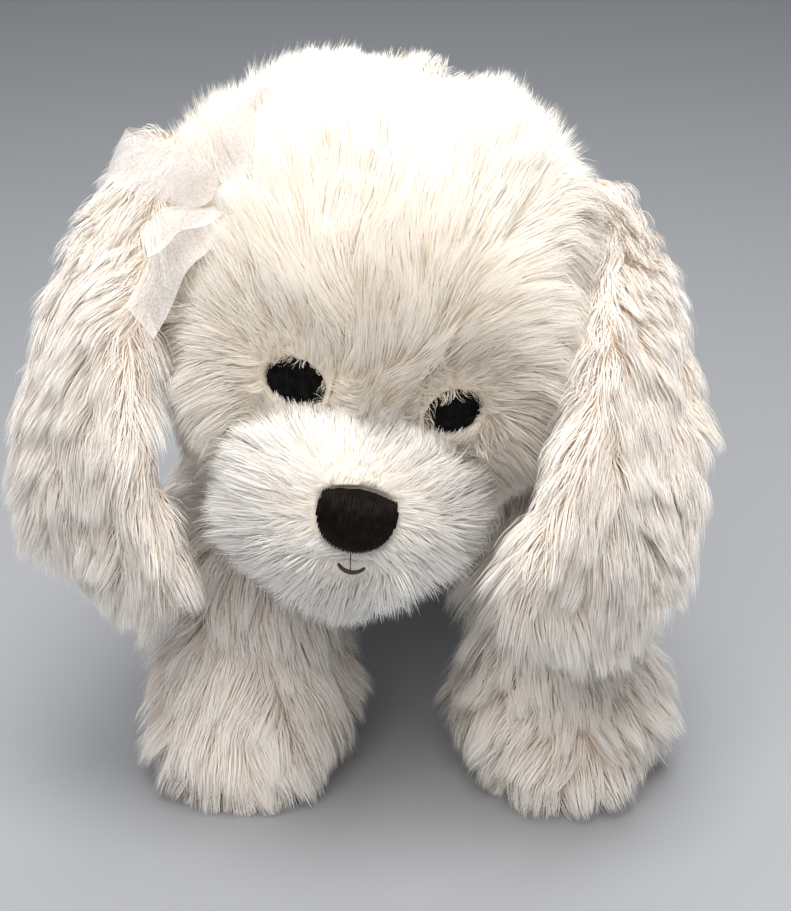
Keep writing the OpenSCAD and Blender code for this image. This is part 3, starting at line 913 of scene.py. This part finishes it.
def make_head():
    pieces = (("head_panel_left", "plush", HEAD_STYLE), ("head_panel_right", "plush", HEAD_STYLE),
              ("crown_gusset", "plush", HEAD_STYLE), ("muzzle_panel", "muzzle_plush", MUZZLE_STYLE),
              ("chin_panel", "muzzle_plush", MUZZLE_STYLE))
    for i, (node, slot, style) in enumerate(pieces):
        skin = skin_piece(node, "head", slot, voxel=1.2, relax=3)
        grow(f"fur_{node}", skin, "head", slot, style, 40 + 20 * i, keep_head)
    stuffing_piece("head_stuffing", "head", 11)
    for side in ("left", "right"):
        make_eye(side)
    make_nose()
    make_mouth()
    make_bow()


def make_ears():
    for i, side in enumerate(("left", "right")):
        body = f"ear_{side}"
        panel = skin_piece(f"ear_panel_{side}", body, "warm_plush", voxel=1.6)
        grow(f"fur_ear_{side}", panel, body, "warm_plush", ear_style(side), 200 + 40 * i)
        lining = skin_piece(f"ear_lining_{side}", body, "ear_lining", voxel=0.9, relax=2)
        grow(f"pile_ear_lining_{side}", lining, body, "ear_lining", lining_style(side), 220 + 40 * i)


def make_body():
    keep = keep_outside("torso", [(f"{pair}_leg_{side}", -1.0) for pair, side in LEGS] + [("head", 2.0)])
    for i, (node, style) in enumerate((("body_panel_left", BODY_STYLE), ("body_panel_right", BODY_STYLE),
                                       ("belly_panel", BELLY_STYLE))):
        skin = skin_piece(node, "torso", "plush")
        grow(f"fur_{node}", skin, "torso", "plush", style, 300 + 20 * i, keep)
    stuffing_piece("body_stuffing", "torso", 21)
    skin_piece("neck_cover", "neck_base", "neck_cloth", voxel=1.0, relax=2)
    skin_piece("neck_gather_thread", "neck_rim", "gather_thread", voxel=0.8, relax=2)


def make_legs():
    for i, (pair, side) in enumerate(LEGS):
        body = f"{pair}_leg_{side}"
        skin = skin_piece(f"{pair}_leg_cover_{side}", body, "warm_plush")
        keep = keep_outside(body, [("torso", 3.0), ("head", 1.0)])
        grow(f"fur_{pair}_leg_{side}", skin, body, "warm_plush", LEG_STYLE, 400 + 30 * i, keep)
        skin_piece(f"{pair}_paw_sole_{side}", body, "sole", voxel=0.9, relax=2)
        stuffing_piece(f"{pair}_leg_stuffing_{side}", body, 31 + i)


def make_tail():
    skin = skin_piece("tail_cover", "tail", "plush")
    grow("fur_tail", skin, "tail", "plush", tail_style(), 600, lambda p, n: depth(p, "torso") > 2)
    stuffing_piece("tail_stuffing", "tail", 51)


# ---------------------------------------------------------------- camera, floor and light
def make_stage():
    """A plain pale floor, which isn't part of the toy."""
    far = FLOOR_REACH
    verts = [(-far, -far, 0), (far, -far, 0), (far, far, 0), (-far, far, 0)]
    m, _, _, shader = new_material("floor")
    shader.inputs["Base Color"].default_value = (0.36, 0.37, 0.39, 1)
    shader.inputs["Roughness"].default_value = 0.7
    floor = mesh_object("floor", np.array(verts) / MM, [(0, 1, 2, 3)], m)


def area_light(name, at, size, watts, colour):
    data = bpy.data.lights.new(name, "AREA")
    data.shape, data.size, data.energy, data.color = "DISK", size, watts, colour
    obj = link(bpy.data.objects.new(name, data))
    obj.location = at
    obj.rotation_euler = (Vector(LIGHTS_AIM) - Vector(at)).to_track_quat("-Z", "Y").to_euler()


def make_lights():
    for light in LIGHTS:
        area_light(*light)
    world = bpy.data.worlds.new("room")
    world.use_nodes = True
    background = world.node_tree.nodes["Background"]
    background.inputs["Color"].default_value = (0.75, 0.78, 0.82, 1)
    background.inputs["Strength"].default_value = 0.38
    bpy.context.scene.world = world


def make_camera():
    data = bpy.data.cameras.new("camera")
    data.lens = LENS_MM
    data.sensor_width = 36.0
    data.clip_start, data.clip_end = 0.05, 20
    cam = link(bpy.data.objects.new("camera", data))
    cam.location = CAMERA_AT
    cam.rotation_euler = (math.radians(CAMERA_TILT), 0, 0)
    bpy.context.scene.camera = cam


make_camera()
make_stage()
make_lights()
bpy.context.scene.view_settings.view_transform = "Standard"
make_head()
make_ears()
make_body()
make_legs()
make_tail()
